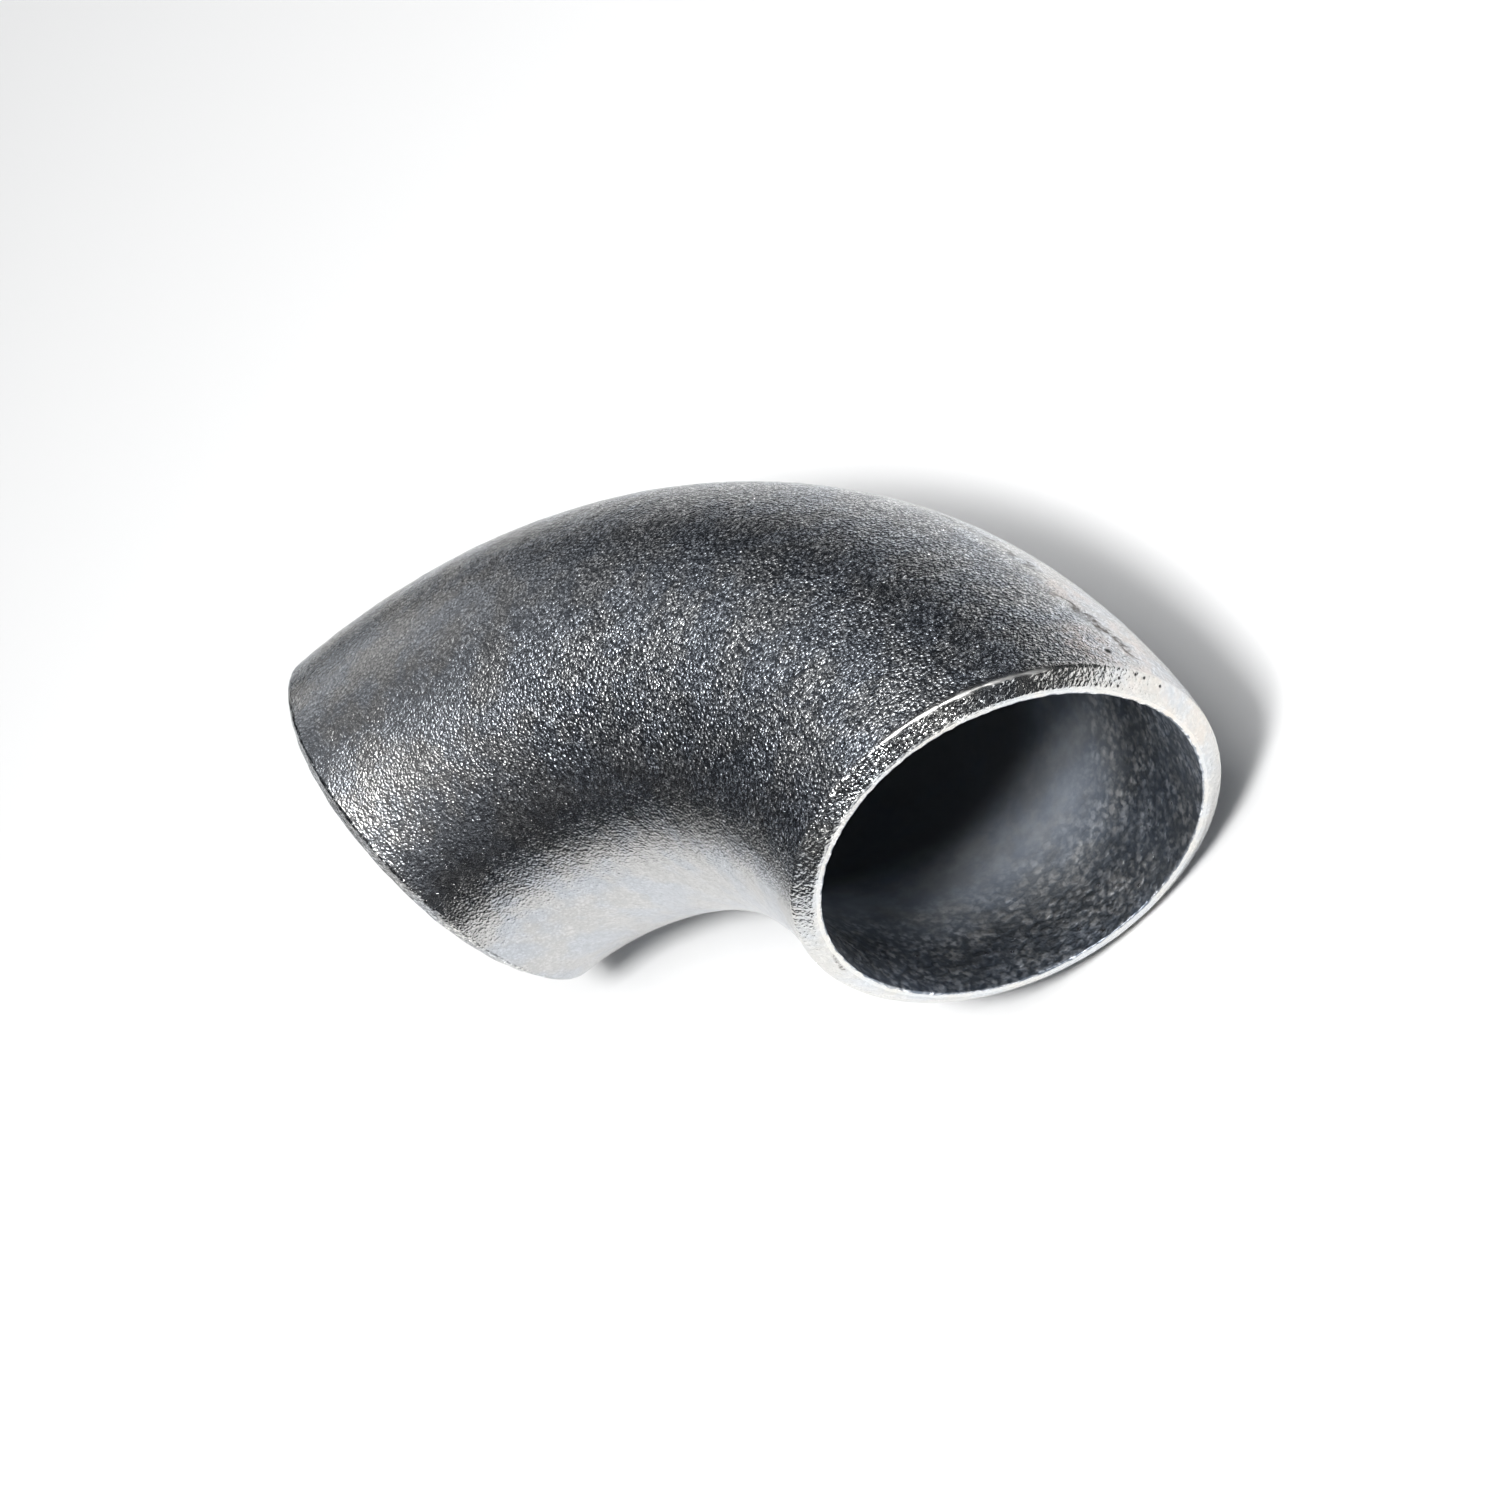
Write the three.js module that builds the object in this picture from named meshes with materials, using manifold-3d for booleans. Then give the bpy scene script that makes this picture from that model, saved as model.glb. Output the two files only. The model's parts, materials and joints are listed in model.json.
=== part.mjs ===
// Butt-welding 90 degree elbow in carbon steel, nominal size DN 50, long radius.
// One length of seamless tube, bent hot, then faced off and bevelled for welding at both ends.
// It lies flat: +Z is up, the near weld end faces -Y and the far weld end faces -X.
// Lengths are in millimetres and angles in degrees.

import * as THREE from 'three';
import { mergeVertices } from 'three/addons/utils/BufferGeometryUtils.js';
import Module from 'manifold-3d';

// Driving dimensions.
const outsideDiameter = 60.3;   // outside diameter of a DN 50 pipe
const wallThickness = 3.5;
const centreToEnd = 76.2;       // from one weld end's face to the other weld end's axis
const bendRadius = 81.0;        // radius of the formed tube's centre line
const flattening = 0.72;        // how much the bend pulls in the tube's half width at its middle
const bevelAngle = 37.5;        // weld bevel, measured from the end's face
const rootFace = 1.2;           // width of the flat ring left round the bore

// How finely the curved faces are divided.
const stepsAlongBend = 30;      // over the quarter turn
const stepsAroundTube = 48;
const sameCorner = 1e-4;        // corners of a face that are closer than this are one

const outsideRadius = outsideDiameter / 2;
const boreRadius = outsideRadius - wallThickness;
const rootFaceRadius = boreRadius + rootFace;

// The centre line starts and ends past the weld faces, so facing the ends off takes this much
// from each: it is the distance of each weld face from the plane through the bend's centre.
const facedOff = (Math.sqrt(2 * bendRadius ** 2 - centreToEnd ** 2) - centreToEnd) / 2;
const endAxisOffset = centreToEnd + facedOff;

const wasm = await Module();
wasm.setup();

function solidFrom(geometry) {
  const bare = geometry.clone();
  bare.deleteAttribute('normal');
  bare.deleteAttribute('uv');
  const merged = mergeVertices(bare, sameCorner);
  return new wasm.Manifold(new wasm.Mesh({
    numProp: 3,
    vertProperties: merged.attributes.position.array,
    triVerts: new Uint32Array(merged.index.array),
  }));
}

function geometryFrom(solid) {
  const mesh = solid.getMesh();
  const geometry = new THREE.BufferGeometry();
  geometry.setAttribute('position', new THREE.BufferAttribute(mesh.vertProperties, 3));
  geometry.setIndex(new THREE.BufferAttribute(mesh.triVerts, 1));
  geometry.computeVertexNormals();
  return geometry;
}

// A full ring of tube about Z, of which the elbow uses the +X +Y quarter. Within that quarter
// the section is pulled in sideways by up to the flattening, most at the middle of the bend.
function tubeRing(radius) {
  const section = [];
  for (let i = 0; i <= stepsAroundTube; i += 1) {
    const angle = (2 * Math.PI * (i % stepsAroundTube)) / stepsAroundTube;
    section.push(new THREE.Vector2(bendRadius + radius * Math.cos(angle), radius * Math.sin(angle)));
  }
  const ring = new THREE.LatheGeometry(section, 4 * stepsAlongBend);
  ring.rotateX(Math.PI / 2);
  const position = ring.getAttribute('position');
  for (let i = 0; i < position.count; i += 1) {
    const x = position.getX(i);
    const y = position.getY(i);
    const distance = Math.hypot(x, y);
    const turn = Math.atan2(y, x);
    const inQuarter = turn > 0 && turn < Math.PI / 2;
    const pulledIn = inQuarter ? flattening * Math.sin(2 * turn) : 0;
    const newDistance = bendRadius + (distance - bendRadius) * (1 - pulledIn / radius);
    position.setXY(i, (x * newDistance) / distance, (y * newDistance) / distance);
  }
  return solidFrom(ring);
}

// A block that keeps the quarter between the two weld faces.
function quarterBlock() {
  const side = 2 * (bendRadius + outsideRadius);
  const block = new THREE.BoxGeometry(side, side, side);
  block.translate(facedOff + side / 2, facedOff + side / 2, 0);
  return solidFrom(block);
}

// The ring of metal that the bevel removes at the near weld end: a three-sided section turned
// about that end's axis, with the slope starting at the root face.
function bevelRing() {
  const slope = Math.tan(THREE.MathUtils.degToRad(bevelAngle));
  const reach = wallThickness;      // how far the cutter goes past the wall on each side
  const outer = outsideRadius + reach;
  const depth = (outer - rootFaceRadius) * slope;
  const section = [
    new THREE.Vector2(rootFaceRadius - reach / slope, -reach),
    new THREE.Vector2(outer, -reach),
    new THREE.Vector2(outer, depth),
    new THREE.Vector2(rootFaceRadius - reach / slope, -reach),
  ];
  const ring = new THREE.LatheGeometry(section, 2 * stepsAroundTube);
  ring.translate(endAxisOffset, facedOff, 0);
  return solidFrom(ring);
}

function elbowGeometry() {
  const nearBevel = bevelRing();
  const farBevel = nearBevel.mirror([1, -1, 0]);
  const tube = tubeRing(outsideRadius).subtract(tubeRing(boreRadius));
  return geometryFrom(tube.intersect(quarterBlock()).subtract(nearBevel).subtract(farBevel));
}

const blastedSteel = new THREE.MeshStandardMaterial({
  color: 0x6c7076,
  roughness: 0.5,
  metalness: 0.9,
});

const elbowBody = new THREE.Mesh(elbowGeometry(), blastedSteel);
elbowBody.name = 'elbow_body';

// The origin is under the middle of the elbow, on the surface that it lies on.
elbowBody.geometry.computeBoundingBox();
const box = elbowBody.geometry.boundingBox;
elbowBody.position.set(-(box.min.x + box.max.x) / 2, -(box.min.y + box.max.y) / 2, -box.min.z);

const elbow = new THREE.Group();
elbow.add(elbowBody);

export default elbow;
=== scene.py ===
"""Looks of a bare, shot-blasted steel butt-welding elbow that lies flat on a white table.

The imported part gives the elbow's place and size. This script stands one finely divided closed
mesh in its place, with the blast dents, the worn edges and the small marks of the real steel, and
gives it procedural materials, a white table, soft studio light and a camera.
Lengths are in metres, and angles in radians unless a name says degrees.
"""

import json
import math

import bpy
import numpy as np
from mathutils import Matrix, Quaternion, Vector
from mathutils.kdtree import KDTree


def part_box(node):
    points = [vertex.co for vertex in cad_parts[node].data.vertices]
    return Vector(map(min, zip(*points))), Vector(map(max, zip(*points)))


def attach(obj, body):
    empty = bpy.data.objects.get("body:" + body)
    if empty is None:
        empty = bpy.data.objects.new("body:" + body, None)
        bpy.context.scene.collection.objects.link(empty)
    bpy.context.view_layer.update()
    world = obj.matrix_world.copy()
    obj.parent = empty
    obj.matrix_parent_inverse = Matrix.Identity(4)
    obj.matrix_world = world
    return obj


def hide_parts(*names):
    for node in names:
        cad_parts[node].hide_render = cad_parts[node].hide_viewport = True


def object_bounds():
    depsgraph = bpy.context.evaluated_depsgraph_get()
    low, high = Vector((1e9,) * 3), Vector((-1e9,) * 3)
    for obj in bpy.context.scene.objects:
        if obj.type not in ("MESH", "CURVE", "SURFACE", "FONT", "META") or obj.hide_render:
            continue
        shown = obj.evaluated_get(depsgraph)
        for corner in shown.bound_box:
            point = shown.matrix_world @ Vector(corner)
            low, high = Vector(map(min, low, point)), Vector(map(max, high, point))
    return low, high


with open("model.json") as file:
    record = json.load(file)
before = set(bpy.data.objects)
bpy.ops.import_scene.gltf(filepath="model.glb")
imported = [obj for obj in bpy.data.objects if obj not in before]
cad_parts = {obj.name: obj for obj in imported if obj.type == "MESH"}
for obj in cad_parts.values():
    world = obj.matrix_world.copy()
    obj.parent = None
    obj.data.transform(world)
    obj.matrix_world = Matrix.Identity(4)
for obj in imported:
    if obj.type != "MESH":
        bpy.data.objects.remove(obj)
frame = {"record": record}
cad_low, cad_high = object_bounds()

MM = 0.001
NODE = "elbow_body"

# The elbow's own dimensions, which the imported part's box doesn't give.
WALL = 3.5 * MM
BEND_RADIUS = 81.0 * MM
FLATTENING = 0.72 * MM          # the bend pulls in the tube's half width by this at its middle
BEVEL_SLOPE = math.tan(math.radians(37.5))
ROOT_FACE = 1.2 * MM

low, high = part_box(NODE)
OUTSIDE_RADIUS = (high.z - low.z) / 2
BORE_RADIUS = OUTSIDE_RADIUS - WALL
ROOT_FACE_RADIUS = BORE_RADIUS + ROOT_FACE
MOUNTS = {m["name"]: Vector(m["pos_m"]) for m in frame["record"]["mounts"]}
CENTRE_TO_END = MOUNTS["near_weld_end"].x - low.x
FACED_OFF = (math.sqrt(2 * BEND_RADIUS**2 - CENTRE_TO_END**2) - CENTRE_TO_END) / 2
END_AXIS = CENTRE_TO_END + FACED_OFF
BEND_CENTRE = np.array([low.x - FACED_OFF, low.y - FACED_OFF, (low.z + high.z) / 2])

# The burr is a lip that stands up along part of the near bevel's outer edge. Its angles are where
# it starts and ends about the end axis, and the length of its taper at both ends, in degrees.
BURR_HEIGHT = 0.26 * MM
BURR_ANGLES = (31, 97, 18)
BURR_MEAN = 0.85                # its usual share of that height, between its tapers
BURR_UNEVENNESS = 0.34
BURR_LIMITS = (0.15, 1.15)
# How much of its bare metal shows on each row across the outer edge, and on the bevel's first row.
BARE_ON_EDGE = (0.0, 0.4, 1.0, 1.0)
BARE_ON_BEVEL = 0.5

# How far each edge of a weld end is worn round, and how far it strays from its true line.
OUTER_ROUND = 0.34 * MM
ROOT_ROUND = 0.16 * MM
BORE_ROUND = 0.22 * MM
BURR_ROUND = 0.10 * MM          # how much more the outer edge is worn where the burr is
EDGE_STRAY = 0.05 * MM
ROOT_ROUND_STRAY = 0.03 * MM
BORE_EDGE_STRAY = 0.040 * MM
BORE_EDGE_FINE_STRAY = 0.020 * MM

# The formed wall's long, middling and short swells, each as its length and its height.
SWELLS = ((24 * MM, 0.035 * MM), (7 * MM, 0.012 * MM), (2.6 * MM, 0.010 * MM))
BLAST_GRAIN = 0.010 * MM        # random height of the single points of the mesh
BEVEL_GRAIN = 0.003 * MM
DENT_COUNT = 5200
DENT_RADII = (0.9 * MM, 2.2 * MM)
DENT_DEPTH = 0.035 * MM
BORE_DENT_SHARE = 0.7           # how deep the bore's dents are, compared with the outside's

# How finely the mesh is divided.
AROUND = 288
OUTER_ROWS = 104                # from one weld end to the middle of the bend
BORE_ROWS = 44
BEVEL_ROWS = 7
ROOT_ROWS = 3
EDGE_ROWS = 4
END_CROWDING = 1.3              # the power that crowds the bore's rows toward the weld end

# The face regions, in the order of the material slots.
OUTSIDE, BEVEL, ROOT, BORE = range(4)

rng = np.random.default_rng(20)


# ---------------------------------------------------------------- shape

def around_noise(count, waves, amplitude):
    """A smooth random number for each step round a closed ring, built from the given waves."""
    angle = np.linspace(0, 2 * math.pi, count, endpoint=False)
    total = np.zeros(count)
    for wave in waves:
        total += rng.normal() * np.sin(wave * angle + rng.uniform(0, 2 * math.pi))
    return amplitude * total / math.sqrt(len(waves) / 2)


def tube_point(turn, section, radius):
    """Points on a tube of that radius round the centre line, measured from the bend's centre.

    turn is 0 at the near weld end and a quarter turn at the far one. section is 0 on the outside
    of the bend and goes up over its top.
    """
    pulled_in = FLATTENING * np.sin(2 * np.clip(turn, 0, math.pi / 2))
    distance = BEND_RADIUS + (radius - pulled_in) * np.cos(section)
    return np.stack([distance * np.cos(turn), distance * np.sin(turn),
                     radius * np.sin(section) + 0 * turn], axis=-1)


def turn_at_depth(section, radius, depth):
    """The turn at which the tube's surface is that deep behind the near weld face.

    Each round comes closer to it.
    """
    turn = np.zeros_like(section)
    for _ in range(6):
        point = tube_point(turn, section, radius)
        turn = np.arcsin((FACED_OFF + depth) / np.hypot(point[:, 0], point[:, 1]))
    return turn


def from_end_axis(point):
    """Angle and distance of points from the near weld end's axis."""
    return (np.arctan2(point[:, 2], point[:, 0] - END_AXIS),
            np.hypot(point[:, 2], point[:, 0] - END_AXIS))


def end_point(angle, radius, depth):
    """Points about the near weld end's axis, that deep behind its face."""
    return np.stack([END_AXIS + radius * np.cos(angle), FACED_OFF + depth + 0 * angle,
                     radius * np.sin(angle)], axis=-1)


def rounded(before, corner, after, rows):
    """Rows across an edge, turned softly from before to after."""
    steps = np.linspace(0, 1, rows + 1)[:, None, None]
    return (1 - steps) ** 2 * before + 2 * steps * (1 - steps) * corner + steps**2 * after


def toward(start, end, length):
    """The point that far from start on the way to end. length has one value for each point."""
    way = end - start
    return start + way * (length / np.linalg.norm(way, axis=1))[:, None]


def burr_share(angle):
    """How strongly the burr stands up at each angle about the end axis, from 0 to 1."""
    start, end, fade = [math.radians(a) for a in BURR_ANGLES]
    share = np.clip((angle - start) / fade, 0, 1) * np.clip((end - angle) / fade, 0, 1)
    uneven = BURR_MEAN + around_noise(AROUND, (37, 59, 83, 101, 127), BURR_UNEVENNESS)
    return share * np.clip(uneven, *BURR_LIMITS)


def half_profile(burr_height):
    """The rows of points from the middle of the bend, out over the near weld end and back inside.

    It gives each row's region too, and how much burr is at each point.
    """
    section = np.linspace(0, 2 * math.pi, AROUND, endpoint=False)
    # Where the bevel's slope meets the bent tube: each round comes closer to it.
    depth = np.full(AROUND, WALL / 2)
    for _ in range(12):
        outer_turn = turn_at_depth(section, OUTSIDE_RADIUS, depth)
        edge = tube_point(outer_turn, section, OUTSIDE_RADIUS)
        angle, distance = from_end_axis(edge)
        depth = (distance - ROOT_FACE_RADIUS) * BEVEL_SLOPE
    root_radius = ROOT_FACE_RADIUS + around_noise(AROUND, (5, 9, 17, 31), EDGE_STRAY)
    root_edge = end_point(angle, root_radius, 0)
    bore_turn = turn_at_depth(section, BORE_RADIUS, 0)
    bore_edge = tube_point(bore_turn, section, BORE_RADIUS)
    ragged = around_noise(AROUND, (7, 12, 23, 41, 60), BORE_EDGE_STRAY)
    ragged += around_noise(AROUND, (67, 79, 91, 103), BORE_EDGE_FINE_STRAY)
    from_axis = bore_edge - np.array([END_AXIS, FACED_OFF, 0])
    bore_edge -= from_axis * (ragged / BORE_RADIUS)[:, None]

    lip = burr_share(angle)
    outward = np.stack([np.cos(angle), -np.ones(AROUND), np.sin(angle)], axis=-1) / math.sqrt(2)
    outer_edge = edge + outward * (burr_height * lip)[:, None]
    outer_round = OUTER_ROUND + BURR_ROUND * lip
    outer_round += around_noise(AROUND, (11, 19, 37, 53), EDGE_STRAY)
    root_round = ROOT_ROUND + around_noise(AROUND, (13, 29, 47), ROOT_ROUND_STRAY)
    bore_round = BORE_ROUND + around_noise(AROUND, (9, 21, 43, 67), EDGE_STRAY)

    rows, regions, burr = [], [], []

    def add(points, region, bare_shares=None):
        """Add rows of points. bare_shares is how much of the burr's bare metal each one shows."""
        rows.extend(points)
        regions.extend([region] * len(points))
        for share in bare_shares or [0.0] * len(points):
            burr.append(share * lip if burr_height else np.zeros(AROUND))

    before_turn = outer_turn + outer_round / (BEND_RADIUS + OUTSIDE_RADIUS * np.cos(section))
    for share in np.linspace(0, 1, OUTER_ROWS, endpoint=False):
        turn = math.pi / 4 + (before_turn - math.pi / 4) * share
        add([tube_point(turn, section, OUTSIDE_RADIUS)], OUTSIDE)
    before_outer = tube_point(before_turn, section, OUTSIDE_RADIUS)
    after_outer = toward(outer_edge, root_edge, outer_round)
    outer_rows = rounded(before_outer, outer_edge, after_outer, EDGE_ROWS)
    add(outer_rows[:-1], BEVEL, BARE_ON_EDGE)

    before_root = toward(root_edge, outer_edge, root_round)
    shares = np.linspace(0, 1, BEVEL_ROWS, endpoint=False)[:, None, None]
    bevel_rows = after_outer + (before_root - after_outer) * shares
    add(bevel_rows, BEVEL, [BARE_ON_BEVEL] + [0.0] * (BEVEL_ROWS - 1))
    after_root = toward(root_edge, bore_edge, root_round)
    add(rounded(before_root, root_edge, after_root, EDGE_ROWS)[:-1], BEVEL)

    before_bore = toward(bore_edge, root_edge, bore_round)
    shares = np.linspace(0, 1, ROOT_ROWS, endpoint=False)[:, None, None]
    root_rows = after_root + (before_bore - after_root) * shares
    # The root face is worn at its outer side, so its first row looks like the bevel.
    add(root_rows[:1], BEVEL)
    add(root_rows[1:], ROOT)
    inner_turn = bore_turn + bore_round / (BEND_RADIUS + BORE_RADIUS * np.cos(section))
    after_bore = tube_point(inner_turn, section, BORE_RADIUS)
    add(rounded(before_bore, bore_edge, after_bore, EDGE_ROWS)[:-1], BORE)

    for share in np.linspace(0, 1, BORE_ROWS + 1) ** END_CROWDING:
        turn = inner_turn + (math.pi / 4 - inner_turn) * share
        add([tube_point(turn, section, BORE_RADIUS)], BORE)
    return np.array(rows), np.array(regions), np.array(burr)


def closed_rows():
    """Rows of points that run all the way round the wall.

    It gives the region that starts at each row too, and how much burr is at each point.
    """
    near, region, near_burr = half_profile(BURR_HEIGHT)
    far, _, far_burr = half_profile(0.0)
    far = far[..., [1, 0, 2]]
    # The far half runs back from the bore's middle row, and both halves share their end rows.
    middle = (near[-1] + far[-1]) / 2
    first = (near[0] + far[0]) / 2
    rows = np.concatenate([[first], near[1:-1], [middle], far[-2:0:-1]])
    regions = np.concatenate([region[:-1], region[-2::-1]])
    burr = np.concatenate([near_burr, far_burr[-2:0:-1]])
    return rows, regions[:len(rows)], burr


def row_normals(rows):
    """Outward normals of a closed grid of rows."""
    along = np.roll(rows, -1, axis=0) - np.roll(rows, 1, axis=0)
    around = np.roll(rows, -1, axis=1) - np.roll(rows, 1, axis=1)
    normal = np.cross(along, around)
    return normal / np.linalg.norm(normal, axis=-1, keepdims=True)


def soft_field(points, size, seed):
    """Smooth random values, about -1 to 1, that change over that length: a sum of random waves."""
    waves = np.random.default_rng(seed)
    total = np.zeros(points.shape[:-1])
    count = 24
    for _ in range(count):
        heading = waves.normal(size=3)
        heading /= np.linalg.norm(heading)
        wave = heading * 2 * math.pi / (size * waves.uniform(0.7, 1.5))
        total += np.sin(points @ wave + waves.uniform(0, 2 * math.pi))
    return total / math.sqrt(count / 2)


def dents(points, count, smallest, largest, deepest, seed):
    """Depth at each point of shallow round dents, which are scattered over the points."""
    place = np.random.default_rng(seed)
    flat = points.reshape(-1, 3)
    tree = KDTree(len(flat))
    for i, p in enumerate(flat):
        tree.insert(p, i)
    tree.balance()
    depth = np.zeros(len(flat))
    for i in place.integers(0, len(flat), count):
        radius = place.uniform(smallest, largest)
        deep = deepest * (radius / largest) * place.uniform(0.3, 1.0)
        for _, j, distance in tree.find_range(Vector(flat[i]), radius):
            depth[j] = max(depth[j], deep * (1 - (distance / radius) ** 2))
    return depth.reshape(points.shape[:-1])


def smooth_step(value, start, end):
    """0 where value is at start and 1 at end, with soft ends."""
    share = np.clip((value - start) / (end - start), 0, 1)
    return share * share * (3 - 2 * share)


# Where the blast only grazes the steel, in degrees. In each pair, it does so not at all at the
# first angle and fully at the second.
INNER_SIDE = (118, 150)         # section angle, off the outside of the bend
FAR_LEG = (42, 76)              # turn
NEAR_LEG = (42, 18)             # turn
NEAR_RIM = (20, 12)             # turn
RIM_SIDES = (16, 48)            # angle about the end axis, off the middle of the blasted arc
BLASTED_ARC_MIDDLE = 92         # angle about the end axis
OUTER_SIDE_MIDDLE = 2           # section angle of the outer side's strip, which is smoother and has a painted sheen
OUTER_SIDE_CORE = 8             # half the width of its core, where the smoothness and the painted sheen are full
OUTER_SIDE_LIMIT = 26           # half its whole width
OUTER_SIDE_FLARE = 12           # how much wider each half gets toward the weld end
FLARE_TURNS = (18, 5)

# How smooth the outer side and the far leg are at the most, and how much painted sheen, a lighter
# colour that stands for a bright reflection, they get at the most.
OUTER_SIDE_CALM = 0.60
FAR_LEG_CALM = 0.82
OUTER_SIDE_SHEEN = 0.75
FAR_LEG_SHEEN = 0.5


def calm_and_painted_sheen(rows, region):
    """Two shares from 0 to 1 at each point: how smooth the steel is, and how much painted sheen it
    gets.

    The blast only grazes the inside of the bend, the near leg's outer side and the near rim away
    from its top, and it is milder on the far leg. The near leg's outer side and the far leg get a
    painted sheen: a lighter colour that stands for a bright reflection.
    """
    turn = np.degrees(np.arctan2(rows[..., 1], rows[..., 0]))
    reach = np.hypot(rows[..., 0], rows[..., 1]) - BEND_RADIUS
    section = np.degrees(np.arctan2(rows[..., 2], reach))
    inner_side = smooth_step(np.abs(section), *INNER_SIDE)
    limit = OUTER_SIDE_LIMIT + OUTER_SIDE_FLARE * smooth_step(turn, *FLARE_TURNS)
    outer_side = smooth_step(np.abs(section - OUTER_SIDE_MIDDLE), limit, OUTER_SIDE_CORE)
    outer_side = outer_side * smooth_step(turn, *NEAR_LEG)
    far_leg = smooth_step(turn, *FAR_LEG)
    angle = np.degrees(np.arctan2(rows[..., 2], rows[..., 0] - END_AXIS))
    off_middle = np.abs((angle - BLASTED_ARC_MIDDLE + 180) % 360 - 180)
    rim = smooth_step(off_middle, *RIM_SIDES) * smooth_step(turn, *NEAR_RIM)
    skin = np.maximum(inner_side, OUTER_SIDE_CALM * outer_side)
    skin = np.maximum(skin, FAR_LEG_CALM * far_leg)
    calm = np.where(region == OUTSIDE, skin, np.where(region == BORE, 0.0, rim))
    # Painted sheen: a lighter colour on the outer side's strip and the far leg that stands for a
    # bright reflection.
    painted_sheen = np.maximum(OUTER_SIDE_SHEEN * outer_side, FAR_LEG_SHEEN * far_leg * (1 - inner_side))
    return calm, np.where(region == OUTSIDE, painted_sheen, 0.0)


def make_elbow():
    """The elbow as one closed mesh, with its regions in the material slots and its shares."""
    rows, regions, burr = closed_rows()
    normals = row_normals(rows)
    region = regions[:, None]
    calm, painted_sheen = calm_and_painted_sheen(rows, region)
    skin = (region == OUTSIDE) * 1.0
    bore = (region == BORE) * 1.0
    bevel = (region == BEVEL) * 1.0
    grain = rng.normal(size=rows.shape[:2])
    height = np.zeros(rows.shape[:2])
    for seed, (length, swing) in enumerate(SWELLS, 1):
        height += swing * soft_field(rows, length, seed) * (skin + bore)
    height += (BLAST_GRAIN * (skin + bore) + BEVEL_GRAIN * bevel) * grain
    dent = dents(rows, DENT_COUNT, *DENT_RADII, DENT_DEPTH, seed=4)
    height -= dent * (skin + BORE_DENT_SHARE * bore)
    rows = rows + normals * height[..., None] + BEND_CENTRE

    count, around = rows.shape[:2]
    row = np.arange(count)[:, None]
    step = np.arange(around)[None, :]
    following_row = (row + 1) % count
    following_step = (step + 1) % around
    faces = np.stack([row * around + step, following_row * around + step,
                      following_row * around + following_step,
                      row * around + following_step], axis=-1).reshape(-1, 4)
    mesh = bpy.data.meshes.new("elbow")
    mesh.from_pydata(rows.reshape(-1, 3).tolist(), [], faces.tolist())
    mesh.polygons.foreach_set("material_index", np.repeat(regions, around).astype(np.int32))
    mesh.polygons.foreach_set("use_smooth", np.ones(len(faces), bool))
    # The last share is the painted sheen, a lighter colour that stands for a bright reflection.
    for name, values in (("burr", burr), ("calm", calm), ("painted_sheen", painted_sheen)):
        mesh.attributes.new(name, "FLOAT", "POINT").data.foreach_set("value", values.ravel())
    mesh.validate()
    mesh.update()
    piece = bpy.data.objects.new("elbow", mesh)
    bpy.context.collection.objects.link(piece)
    return piece


# ---------------------------------------------------------------- materials

# Colours are linear red, green, blue and opacity.
# The first colour is a painted sheen: lighter steel that stands for a bright reflection on the outer
# side and the far leg.
PAINTED_SHEEN_COLOUR = (0.80, 0.79, 0.775, 1)
BARE_BURR = (0.97, 0.96, 0.93, 1)
# The next colour is dark mill scale deep in the bore, and also painted shade there.
MILL_SCALE_AND_SHADE = (0.10, 0.105, 0.115, 1)
PATCH_SHADE = (0.60, 0.62, 0.66, 1)
UNSHADED = (1.0, 1.0, 1.0, 1)
BLUISH = (0.95, 0.985, 1.04, 1)
YELLOWISH = (1.01, 1.0, 0.985, 1)
SIDE_RUST = (0.64, 0.56, 0.52, 1)
BEVEL_RUST = (0.80, 0.68, 0.58, 1)
ROOT_RUST = (0.86, 0.74, 0.64, 1)
RUST_LINE = (0.50, 0.40, 0.31, 1)
SCRAPE_BROWN = (0.13, 0.112, 0.10, 1)
NICK_GREY = (0.20, 0.19, 0.175, 1)
PIT_BLACK = (0.012, 0.012, 0.012, 1)
BEVEL_PIT_BLACK = (0.03, 0.03, 0.03, 1)

# How deep in the bore, in millimetres, the blast starts to fade and is gone, where the dark colour
# deep in it is full, which is partly mill scale and partly painted shade, and how much farther the
# blast reaches on the side that faces the opening.
BLAST_FULL = 7.0
BLAST_GONE = 24.0
SCALE_AND_SHADE_FULL = 34.0
FACING_REACH = 17.0
FACING_ANGLES = (95.0, 15.0)    # section angles where that starts and is full

# Small marks near the near weld end. A place on the outside is a turn and a section angle. A place
# on the rim is an angle about the end axis and a radius in millimetres. Angles are in degrees.
SCRAPE = ((5.2, 11.6), (12.2, 21.0))
FAINT_SCRAPE = ((16.0, 16.6), (27.0, 17.3))
SCRAPE_DABS = ((6.2, 12.4), (7.1, 13.3), (8.0, 14.0), (9.7, 16.0), (10.4, 17.6))
PIT = (5.2, 19.9)
SIDE_RUST_PLACES = ((4, 12), (8, 8), (13, 14), (6, 25))
RIM_RUST_ANGLES = (4, -6, -15)
BEVEL_PITS = ((20, 29.0), (15, 29.7), (12, 29.6), (6, 29.4),
              (25, 29.3), (20, 28.2), (30, 28.8), (28, 29.6))
NICK = ((163.5, 27.55), (165, 27.60), (166.5, 27.68), (168, 27.76), (169.5, 27.84), (171, 27.90))
RUST_LINE_ANGLES = range(-16, 12)
RUST_LINE_INSET = 0.1 * MM      # how far inside the root face's outer edge it runs

# About half the width of the scrape's lines, as a section angle.
SCRAPE_WIDTH = 1.45
FAINT_SCRAPE_WIDTH = 0.9

# How far the other marks reach, in millimetres.
DAB_RADIUS = 1.25
PIT_RADIUS = 0.68
BEVEL_PIT_RADIUS = 0.30
NICK_RADIUS = 0.46
RUST_LINE_RADIUS = 0.34
RUST_RADIUS = 6.0


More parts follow.
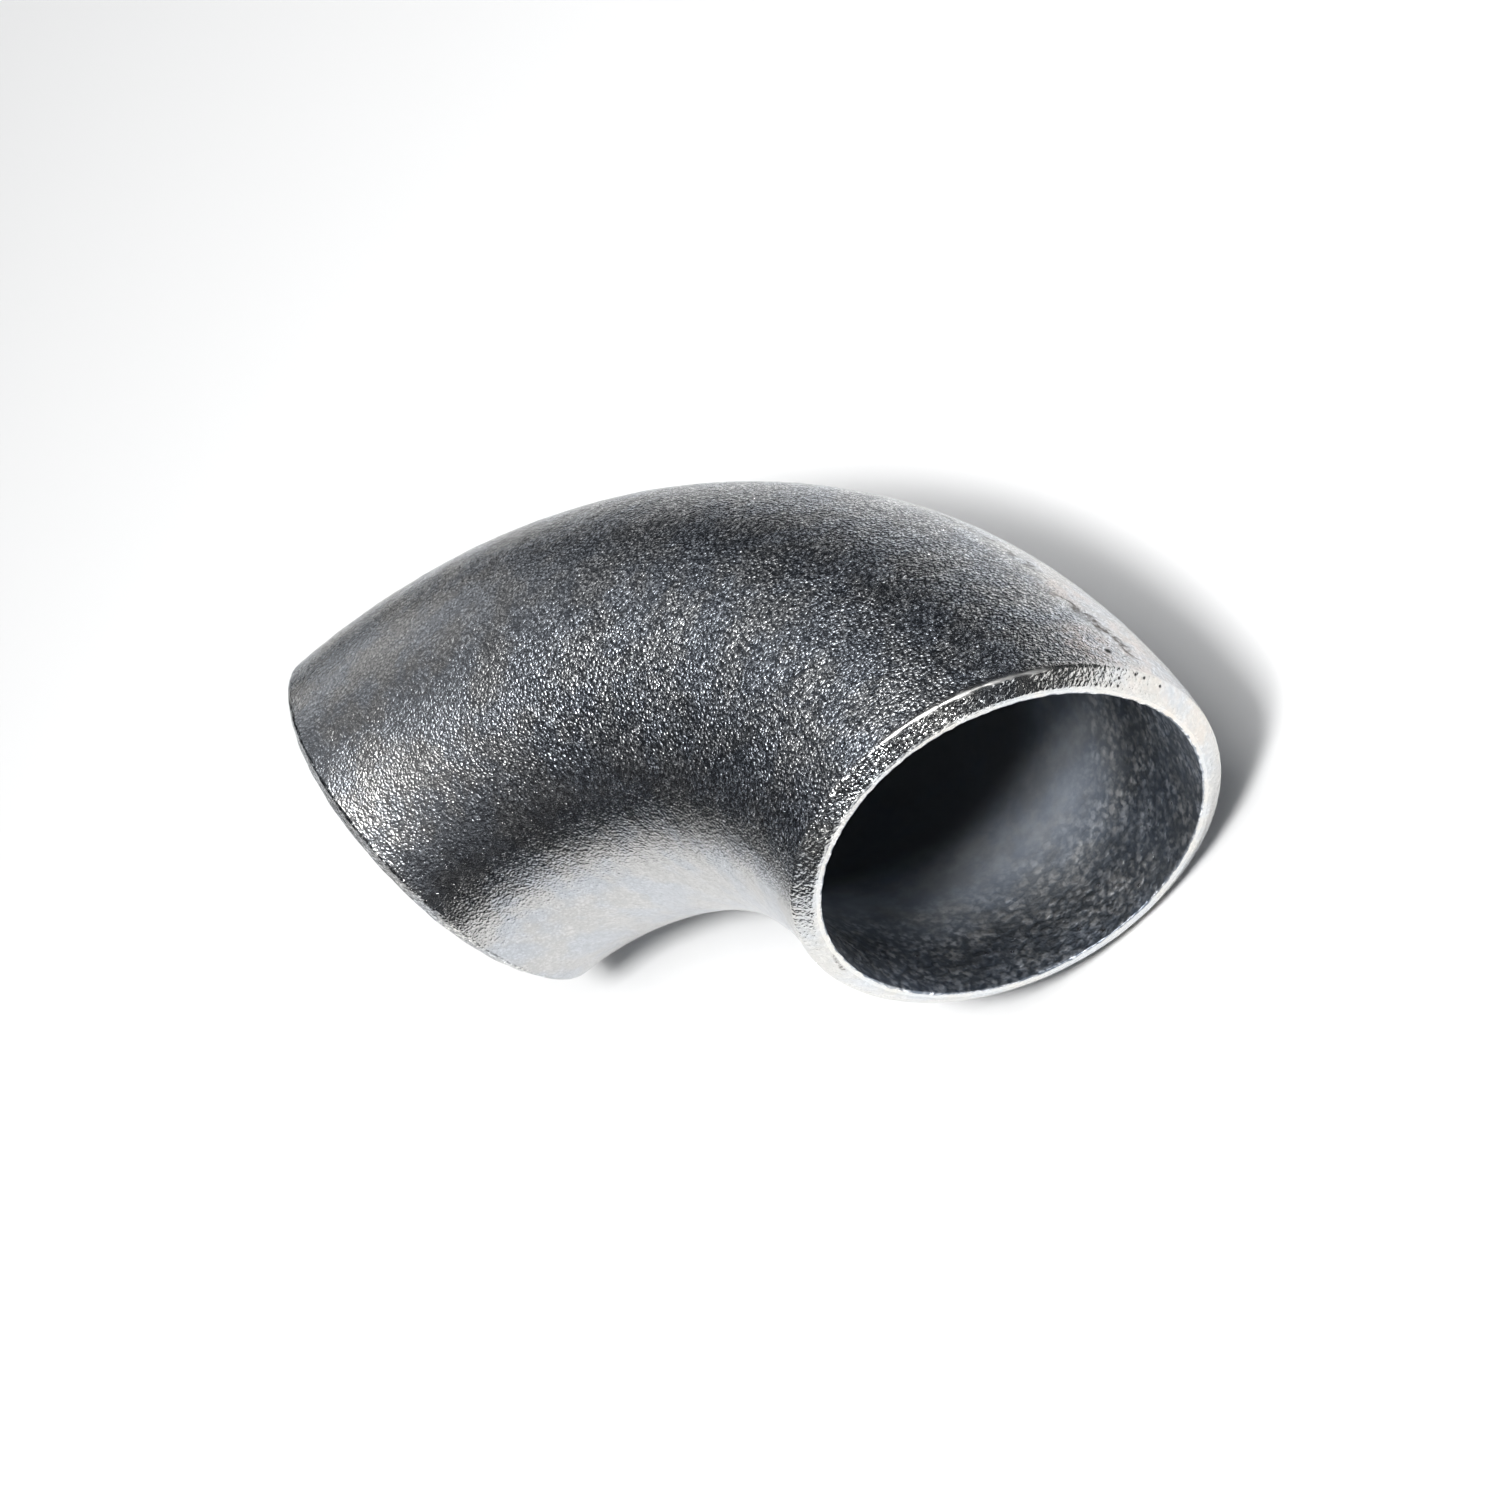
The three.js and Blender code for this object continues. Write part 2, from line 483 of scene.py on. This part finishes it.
class Nodes:
    """Short ways to build one material's node tree."""

    def __init__(self, name):
        self.material = bpy.data.materials.new(name)
        self.material.use_nodes = True
        self.tree = self.material.node_tree
        self.shader = self.tree.nodes["Principled BSDF"]

    def node(self, kind, inputs=None, **settings):
        made = self.tree.nodes.new(kind)
        for key, value in settings.items():
            setattr(made, key, value)
        for key, value in (inputs or {}).items():
            self.put(value, made.inputs[key])
        return made

    def put(self, value, socket):
        if isinstance(value, bpy.types.NodeSocket):
            self.tree.links.new(value, socket)
        else:
            socket.default_value = value

    def math(self, operation, a, b=0.0, clamp=False):
        made = self.node("ShaderNodeMath", {0: a, 1: b}, operation=operation, use_clamp=clamp)
        return made.outputs[0]

    def vector(self, operation, a, b):
        return self.node("ShaderNodeVectorMath", {0: a, 1: b}, operation=operation).outputs[0]

    def gap(self, a, b):
        return self.node("ShaderNodeVectorMath", {0: a, 1: b}, operation="DISTANCE").outputs[1]

    def ramp(self, value, start, end, to_start=0.0, to_end=1.0, shape="SMOOTHSTEP"):
        made = self.node("ShaderNodeMapRange", {"Value": value, "From Min": start, "From Max": end,
                                                "To Min": to_start, "To Max": to_end},
                         interpolation_type=shape)
        return made.outputs[0]

    def noise(self, place, scale, detail=2.0, roughness=0.5):
        return self.node("ShaderNodeTexNoise", {"Vector": place, "Scale": scale, "Detail": detail,
                                                "Roughness": roughness}).outputs[0]

    def share(self, name):
        """The mesh's own value of that name."""
        return self.node("ShaderNodeAttribute", attribute_name=name).outputs["Fac"]

    def cells(self, place, scale):
        """The distance to the nearest of scattered points, and a random number for that point."""
        made = self.node("ShaderNodeTexVoronoi", {"Vector": place, "Scale": scale}, feature="F1")
        split = self.node("ShaderNodeSeparateColor", {"Color": made.outputs["Color"]})
        return made.outputs["Distance"], split.outputs[0]

    def blend(self, share, first, second):
        made = self.node("ShaderNodeMix", data_type="RGBA")
        self.put(share, made.inputs[0])
        self.put(first, made.inputs[6])
        self.put(second, made.inputs[7])
        return made.outputs[2]

    def bump(self, height, distance):
        made = self.node("ShaderNodeBump", {"Height": height, "Distance": distance, "Strength": 1.0})
        return made.outputs[0]


def millimetres(nodes):
    """The place on the part, in millimetres."""
    place = nodes.node("ShaderNodeTexCoord").outputs["Object"]
    return nodes.vector("MULTIPLY", place, (1000.0, 1000.0, 1000.0))


def bore_shares(nodes, place):
    """How well the blast reaches into the bore, and how much dark colour deep in it stands for mill
    scale and painted shade.

    It reaches farther on the bend's outer side, which faces each open end.
    """
    split = nodes.node("ShaderNodeSeparateXYZ", {"Vector": place})
    from_far = nodes.math("SUBTRACT", split.outputs[0], low.x / MM)
    from_near = nodes.math("SUBTRACT", split.outputs[1], low.y / MM)
    depth = nodes.math("MINIMUM", from_near, from_far)
    _, section = tube_angles(nodes, place)
    facing = nodes.ramp(nodes.math("ABSOLUTE", section), *FACING_ANGLES, 0.0, FACING_REACH)
    depth = nodes.math("SUBTRACT", depth, facing)
    return nodes.ramp(depth, BLAST_GONE, BLAST_FULL), nodes.ramp(depth, BLAST_GONE, SCALE_AND_SHADE_FULL)


def tube_angles(nodes, place):
    """The turn and the section angle, both in degrees, as tube_point has them."""
    out = nodes.vector("SUBTRACT", place, tuple(BEND_CENTRE / MM))
    split = nodes.node("ShaderNodeSeparateXYZ", {"Vector": out})
    x, y, z = split.outputs
    flat = nodes.node("ShaderNodeCombineXYZ", {"X": x, "Y": y})
    reach = nodes.node("ShaderNodeVectorMath", {0: flat.outputs[0]}, operation="LENGTH").outputs[1]
    turn = nodes.math("DEGREES", nodes.math("ARCTAN2", y, x))
    section = nodes.math("ARCTAN2", z, nodes.math("SUBTRACT", reach, BEND_RADIUS / MM))
    return turn, nodes.math("DEGREES", section)


def streak(nodes, place, start, end, width):
    """A broken, wandering line from start to end, each a turn and a section angle.

    width is about half its width, as a section angle. Angles are in degrees.
    """
    turn, section = tube_angles(nodes, place)
    wander = nodes.ramp(nodes.noise(place, 0.40, 1.0), 0.3, 0.7, -1.8, 1.8, "LINEAR")
    line = nodes.ramp(turn, start[0], end[0], start[1], end[1], "LINEAR")
    off = nodes.math("ABSOLUTE", nodes.math("SUBTRACT", nodes.math("ADD", section, wander), line))
    swell = nodes.ramp(nodes.noise(place, 0.33, 1.0), 0.40, 0.60, 0.50 * width, 1.80 * width)
    beside = nodes.ramp(nodes.math("DIVIDE", off, swell), 1.2, 0.1)
    begins = nodes.ramp(turn, start[0] - 0.5, start[0] + 0.3)
    ends = nodes.ramp(turn, end[0] + 0.5, end[0] - 0.3)
    broken = nodes.ramp(nodes.noise(place, 1.1, 3.0, 0.8), 0.36, 0.56)
    inside = nodes.math("MULTIPLY", begins, ends)
    return nodes.math("MULTIPLY", nodes.math("MULTIPLY", beside, inside), broken)


def spots(nodes, place, points, radius):
    """1 at each of the points, falling to 0 at that radius, which is in millimetres."""
    total = None
    for point in points:
        spot = nodes.ramp(nodes.gap(place, tuple(point / MM)), radius, 0.4 * radius)
        total = spot if total is None else nodes.math("MAXIMUM", total, spot)
    return total


def bevel_point(angle_degrees, radius):
    """The point of the near weld end's bevel at that angle about the end axis and that radius."""
    depth = (radius - ROOT_FACE_RADIUS) * BEVEL_SLOPE
    return end_point(np.array([math.radians(angle_degrees)]), radius, depth)[0] + BEND_CENTRE


def outside_point(turn_degrees, section_degrees):
    """The point of the outside skin at that turn and section angle."""
    turn, section = math.radians(turn_degrees), math.radians(section_degrees)
    return tube_point(turn, section, OUTSIDE_RADIUS) + BEND_CENTRE


def rust_share(nodes, place):
    """How much faint rust is on the outside of the bend near the near weld end, and on its rim."""
    side = [outside_point(turn, section) for turn, section in SIDE_RUST_PLACES]
    rim = [bevel_point(angle, ROOT_FACE_RADIUS) for angle in RIM_RUST_ANGLES]
    cloudy = nodes.ramp(nodes.noise(place, 0.45, 3.0, 0.6), 0.35, 0.65)
    return nodes.math("MULTIPLY", spots(nodes, place, side + rim, RUST_RADIUS), cloudy)


def blast_grain(nodes, place, spacing, distance, chance):
    """The blast's relief, and how much of the bright crest colour shows, partly as painted glints.

    distance is how far the nearest crest is, in spacings, and chance is that crest's own number.
    """
    dome = nodes.ramp(distance, 0.85, 0.0, 0.0, 1.0, "LINEAR")
    strength = nodes.ramp(chance, 0.0, 1.0, 0.42, 1.12, "LINEAR")
    peaks = nodes.math("MULTIPLY", dome, strength)
    fine = nodes.noise(place, 1.7 / spacing, 1.0, 0.5)
    fine = nodes.ramp(fine, 0.25, 0.75, 0.0, 0.75, "LINEAR")
    relief = nodes.math("ADD", peaks, fine)
    clouds = nodes.ramp(nodes.noise(place, 0.32, 3.0, 0.6), 0.32, 0.68, 0.70, 1.25)
    return relief, nodes.math("MULTIPLY", nodes.ramp(relief, 0.35, 1.25), clouds, True)


def blasted(name, ground, crest_and_glint, plain, spacing, height, roughness,
            marks=None, fades=False, burrs=False):
    """Blasted steel: crests, spacing millimetres apart, that stand height metres high, whose bright
    colour is partly painted glints.

    ground is its colour between the crests, and plain its colour where the blast only grazes it.
    marks is a function that adds small marks. fades takes the blast away deep in the bore and
    darkens it there, partly as mill scale and partly as painted shade, and burrs shows bare bright
    metal along the burr.
    """
    nodes = Nodes(name)
    place = millimetres(nodes)
    distance, chance = nodes.cells(place, 1 / spacing)
    relief, grain = blast_grain(nodes, place, spacing, distance, chance)
    calm = nodes.share("calm")
    # Painted sheen: where that share is, the plain colour turns lighter to stand for a bright
    # reflection.
    plain = nodes.blend(nodes.share("painted_sheen"), plain, PAINTED_SHEEN_COLOUR)
    solid = nodes.math("MULTIPLY", relief, nodes.ramp(calm, 0.0, 1.0, 1.0, 0.35, "LINEAR"))
    rough = nodes.noise(place, 0.7, 2.0)
    rough = nodes.ramp(rough, 0.3, 0.7, roughness - 0.04, roughness + 0.04)
    metal = 1.0
    if fades:
        share, scale = bore_shares(nodes, place)
        patchy = nodes.ramp(nodes.noise(place, 0.22, 4.0, 0.65), 0.36, 0.66, 0.40, 1.0)
        shade = nodes.blend(patchy, PATCH_SHADE, UNSHADED)
        plain = nodes.vector("MULTIPLY", plain, shade)
        # Deep in the bore the colour goes dark: partly mill scale, partly painted shade where little
        # light reaches.
        deep = nodes.blend(scale, plain, MILL_SCALE_AND_SHADE)
        ground = nodes.blend(share, deep, ground)
        metal = nodes.ramp(share, 0.0, 1.0, 0.42, 1.0, "LINEAR")
        few = nodes.ramp(chance, 0.78, 0.92)
        glint = nodes.math("MULTIPLY", few, nodes.ramp(distance, 0.50, 0.10))
        glint = nodes.math("MULTIPLY", glint, share)
        grain = nodes.math("MULTIPLY", nodes.math("MULTIPLY", grain, share), patchy)
        grain = nodes.math("MAXIMUM", grain, glint)
        solid = nodes.math("MULTIPLY", solid, nodes.ramp(share, 0.0, 1.0, 0.12, 1.0, "LINEAR"))
        rough = nodes.math("SUBTRACT", rough, nodes.math("MULTIPLY", glint, 0.16))
        rough = nodes.math("ADD", rough, nodes.ramp(share, 1.0, 0.0, 0.0, 0.22, "LINEAR"))
    # The bright crest colour over the grain is partly painted glints: white dots that stand for the
    # blast's sparkle.
    speckle_and_glint = nodes.blend(grain, ground, crest_and_glint)
    colour = nodes.blend(nodes.math("MULTIPLY", calm, 0.85), speckle_and_glint, plain)
    hue = nodes.ramp(nodes.noise(place, 0.13, 3.0, 0.6), 0.40, 0.60)
    colour = nodes.vector("MULTIPLY", colour, nodes.blend(hue, BLUISH, YELLOWISH))
    if marks:
        colour, dull = marks(nodes, place, colour)
        metal = nodes.math("SUBTRACT", metal, dull, True)
        rough = nodes.math("ADD", rough, nodes.math("MULTIPLY", dull, 0.5))
    if burrs:
        bare = nodes.ramp(nodes.share("burr"), 0.15, 0.75)
        colour = nodes.blend(bare, colour, BARE_BURR)
        rough = nodes.math("ADD", rough, nodes.math("MULTIPLY", bare, 0.22))
        solid = nodes.math("MULTIPLY", solid, nodes.ramp(bare, 1.0, 0.0, 0.15, 1.0, "LINEAR"))
    nodes.put(colour, nodes.shader.inputs["Base Color"])
    nodes.put(metal, nodes.shader.inputs["Metallic"])
    nodes.put(rough, nodes.shader.inputs["Roughness"])
    nodes.put(nodes.bump(solid, height), nodes.shader.inputs["Normal"])
    return nodes.material


def rusted(nodes, place, colour, rust, strength):
    """That colour with the faint rust over it."""
    return nodes.blend(nodes.math("MULTIPLY", rust_share(nodes, place), strength), colour, rust)


def outside_marks(nodes, place, colour):
    """The rust tint, the brown scrape with its faint continuation and dabs, and one pit.

    Like the other marks, it gives the colour and how dull the steel is there.
    """
    colour = rusted(nodes, place, colour, SIDE_RUST, 0.65)
    scrape = streak(nodes, place, *SCRAPE, SCRAPE_WIDTH)
    faint = streak(nodes, place, *FAINT_SCRAPE, FAINT_SCRAPE_WIDTH)
    faint = nodes.math("MULTIPLY", faint, 0.6)
    middles = [outside_point(turn, section) for turn, section in SCRAPE_DABS]
    ragged = nodes.ramp(nodes.noise(place, 1.1, 3.0, 0.8), 0.38, 0.58)
    dabs = nodes.math("MULTIPLY", spots(nodes, place, middles, DAB_RADIUS), ragged)
    pit = spots(nodes, place, [outside_point(*PIT)], PIT_RADIUS)
    stain = nodes.math("MAXIMUM", nodes.math("MAXIMUM", scrape, faint), dabs)
    stain = nodes.math("MULTIPLY", stain, 0.9)
    colour = nodes.blend(stain, colour, SCRAPE_BROWN)
    return nodes.blend(pit, colour, PIT_BLACK), nodes.math("MAXIMUM", stain, pit)


def bevel_marks(nodes, place, colour):
    """The rust tint, the nick and the small dark pits in the near bevel."""
    colour = rusted(nodes, place, colour, BEVEL_RUST, 0.3)
    pits = [bevel_point(angle, radius * MM) for angle, radius in BEVEL_PITS]
    pits = spots(nodes, place, pits, BEVEL_PIT_RADIUS)
    nick = [bevel_point(angle, radius * MM) for angle, radius in NICK]
    ragged = nodes.ramp(nodes.noise(place, 2.2, 2.0, 0.7), 0.34, 0.60)
    nick = nodes.math("MULTIPLY", spots(nodes, place, nick, NICK_RADIUS), ragged)
    colour = nodes.blend(nick, colour, NICK_GREY)
    return nodes.blend(pits, colour, BEVEL_PIT_BLACK), nodes.math("MAXIMUM", nick, pits)


def root_marks(nodes, place, colour):
    """The rust tint on the near root face, and a thin brown line along it."""
    colour = rusted(nodes, place, colour, ROOT_RUST, 0.4)
    radius = ROOT_FACE_RADIUS - RUST_LINE_INSET
    line = [bevel_point(angle, radius) for angle in RUST_LINE_ANGLES]
    ragged = nodes.ramp(nodes.noise(place, 0.9), 0.4, 0.6)
    line = nodes.math("MULTIPLY", spots(nodes, place, line, RUST_LINE_RADIUS), ragged)
    return nodes.blend(line, colour, RUST_LINE), nodes.math("MULTIPLY", line, 0.6)


def steel_materials():
    """The materials of the four regions, in the order of their slots."""
    # Each crest colour is partly painted glints.
    outside = blasted("blasted_steel", ground=(0.105, 0.116, 0.133, 1), crest_and_glint=(0.96, 0.98, 1.0, 1),
                      plain=(0.50, 0.50, 0.50, 1), spacing=0.53, height=0.13 * MM,
                      roughness=0.22, marks=outside_marks)
    bevel = blasted("bevel_steel", ground=(0.20, 0.205, 0.21, 1), crest_and_glint=(0.98, 0.98, 0.96, 1),
                    plain=(0.67, 0.668, 0.655, 1), spacing=0.68, height=0.17 * MM,
                    roughness=0.22, marks=bevel_marks, burrs=True)
    root = blasted("root_face_steel", ground=(0.60, 0.59, 0.57, 1), crest_and_glint=(0.90, 0.885, 0.85, 1),
                   plain=(0.74, 0.735, 0.71, 1), spacing=0.42, height=0.03 * MM,
                   roughness=0.34, marks=root_marks)
    bore = blasted("bore_steel", ground=(0.235, 0.26, 0.295, 1), crest_and_glint=(1.0, 1.0, 1.0, 1),
                   plain=(0.350, 0.372, 0.402, 1), spacing=1.25, height=0.10 * MM,
                   roughness=0.42, fades=True)
    return outside, bevel, root, bore


# ---------------------------------------------------------------- studio

TABLE_HALF = 0.20
FLOOR_HALF = 3.0
GLOW_FROM = 0.30                # how far from the elbow the floor's glow starts, and is full
GLOW_FULL = 1.50
GLOW_STRENGTH = 0.62

# Each lamp's name, azimuth and elevation in degrees, distance, size and brightness.
LAMPS = (("overhead", 10, 76, 0.52, 0.45, 3.3),
         ("front", 0, 60, 0.95, 0.18, 72.0),
         ("back", -163, 18, 0.90, 0.45, 0.55))

# The room's brightness at low and at high elevation, each with its place on the ramp, and the
# backdrop that only the camera sees.
ROOM_LOW = (0.15, (0.022, 0.024, 0.028, 1))
ROOM_HIGH = (0.75, (0.19, 0.195, 0.205, 1))
BACKDROP = (0.85, 0.855, 0.86, 1)

# The camera, whose angles are in degrees. It is rolled, and aims a little below the middle of the
# elbow as its picture shows it.
CAMERA_AZIMUTH = 24.2
CAMERA_ELEVATION = 43.8
CAMERA_ROLL = -59.85
CAMERA_DISTANCE = 0.7476
AIM_BELOW_MIDDLE = 0.0081
LENS = 130.3                    # in millimetres, on a sensor 36 mm wide


def square(size):
    """The corners of a square on the table's top, centred on the elbow."""
    return [(-size, -size, low.z), (size, -size, low.z), (size, size, low.z), (-size, size, low.z)]


def make_table():
    """A white table round the elbow, and a white floor beyond it that the steel doesn't mirror.

    The floor's own glow stands for the studio's light on it far from the lamps over the elbow.
    """
    nodes = Nodes("white_table")
    nodes.shader.inputs["Base Color"].default_value = (0.90, 0.90, 0.895, 1)
    nodes.shader.inputs["Roughness"].default_value = 0.8
    nodes.shader.inputs["Emission Color"].default_value = (1, 1, 1, 1)
    away = nodes.gap(nodes.node("ShaderNodeTexCoord").outputs["Object"], (0.0, 0.0, low.z))
    glow = nodes.ramp(away, GLOW_FROM, GLOW_FULL, 0.0, GLOW_STRENGTH)
    nodes.put(glow, nodes.shader.inputs["Emission Strength"])
    inner = square(TABLE_HALF)
    ring = [(i, i + 4, (i + 1) % 4 + 4, (i + 1) % 4) for i in range(4)]
    parts = (("table", inner, [(0, 1, 2, 3)]), ("floor", inner + square(FLOOR_HALF), ring))
    for name, corners, faces in parts:
        mesh = bpy.data.meshes.new(name)
        mesh.from_pydata(corners, [], faces)
        mesh.materials.append(nodes.material)
        piece = bpy.data.objects.new(name, mesh)
        bpy.context.collection.objects.link(piece)
        piece.visible_glossy = name == "table"


def direction(azimuth_degrees, elevation_degrees):
    """The unit vector that way. Azimuth is 0 toward -Y and 90 toward +X."""
    a, e = math.radians(azimuth_degrees), math.radians(elevation_degrees)
    return Vector((math.sin(a) * math.cos(e), -math.cos(a) * math.cos(e), math.sin(e)))


def soft_light(name, azimuth, elevation, distance, size, brightness):
    """A square lamp that faces the elbow. brightness is its radiance, 1 being paper white."""
    light = bpy.data.lights.new(name, "AREA")
    light.shape = "SQUARE"
    light.size = size
    light.energy = brightness * math.pi * size**2
    lamp = bpy.data.objects.new(name, light)
    bpy.context.collection.objects.link(lamp)
    towards = direction(azimuth, elevation)
    lamp.location = Vector((cad_low + cad_high) / 2) + towards * distance
    lamp.rotation_mode = "QUATERNION"
    lamp.rotation_quaternion = towards.to_track_quat("Z", "Y")
    lamp.visible_camera = False


def make_world():
    """A dim room that is lighter overhead. The camera sees it pale, as a backdrop."""
    world = bpy.data.worlds.new("studio")
    bpy.context.scene.world = world
    world.use_nodes = True
    tree = world.node_tree
    place = tree.nodes.new("ShaderNodeTexCoord")
    split = tree.nodes.new("ShaderNodeSeparateXYZ")
    ramp = tree.nodes.new("ShaderNodeValToRGB")
    tree.links.new(place.outputs["Generated"], split.inputs[0])
    tree.links.new(split.outputs[2], ramp.inputs[0])
    for element, (position, colour) in zip(ramp.color_ramp.elements, (ROOM_LOW, ROOM_HIGH)):
        element.position = position
        element.color = colour
    room = tree.nodes["Background"]
    tree.links.new(ramp.outputs[0], room.inputs["Color"])
    backdrop = tree.nodes.new("ShaderNodeBackground")
    backdrop.inputs["Color"].default_value = BACKDROP
    path = tree.nodes.new("ShaderNodeLightPath")
    either = tree.nodes.new("ShaderNodeMixShader")
    tree.links.new(path.outputs["Is Camera Ray"], either.inputs[0])
    tree.links.new(room.outputs[0], either.inputs[1])
    tree.links.new(backdrop.outputs[0], either.inputs[2])
    tree.links.new(either.outputs[0], tree.nodes["World Output"].inputs["Surface"])


def make_lights():
    """The lamps and the room. The view transform shows their brightness as it is."""
    for lamp in LAMPS:
        soft_light(*lamp)
    make_world()
    bpy.context.scene.view_settings.view_transform = "Standard"


def make_camera():
    """A camera with a long lens, rolled about its line of sight."""
    data = bpy.data.cameras.new("camera")
    data.sensor_width = 36.0
    data.lens = LENS
    data.clip_start = 0.01
    data.clip_end = 20.0
    camera = bpy.data.objects.new("camera", data)
    bpy.context.collection.objects.link(camera)
    back = direction(CAMERA_AZIMUTH, CAMERA_ELEVATION)
    level = (-back).to_track_quat("-Z", "Y")
    turned = Quaternion(back, math.radians(CAMERA_ROLL)) @ level
    image_up = turned @ Vector((0, 1, 0))
    middle = (cad_low + cad_high) / 2
    aim = middle - AIM_BELOW_MIDDLE * image_up
    camera.rotation_mode = "QUATERNION"
    camera.rotation_quaternion = turned
    camera.location = aim + CAMERA_DISTANCE * back
    bpy.context.scene.camera = camera


# ---------------------------------------------------------------- scene

make_camera()
elbow = make_elbow()
for material in steel_materials():
    elbow.data.materials.append(material)
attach(elbow, "root")
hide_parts(NODE)
make_table()
make_lights()
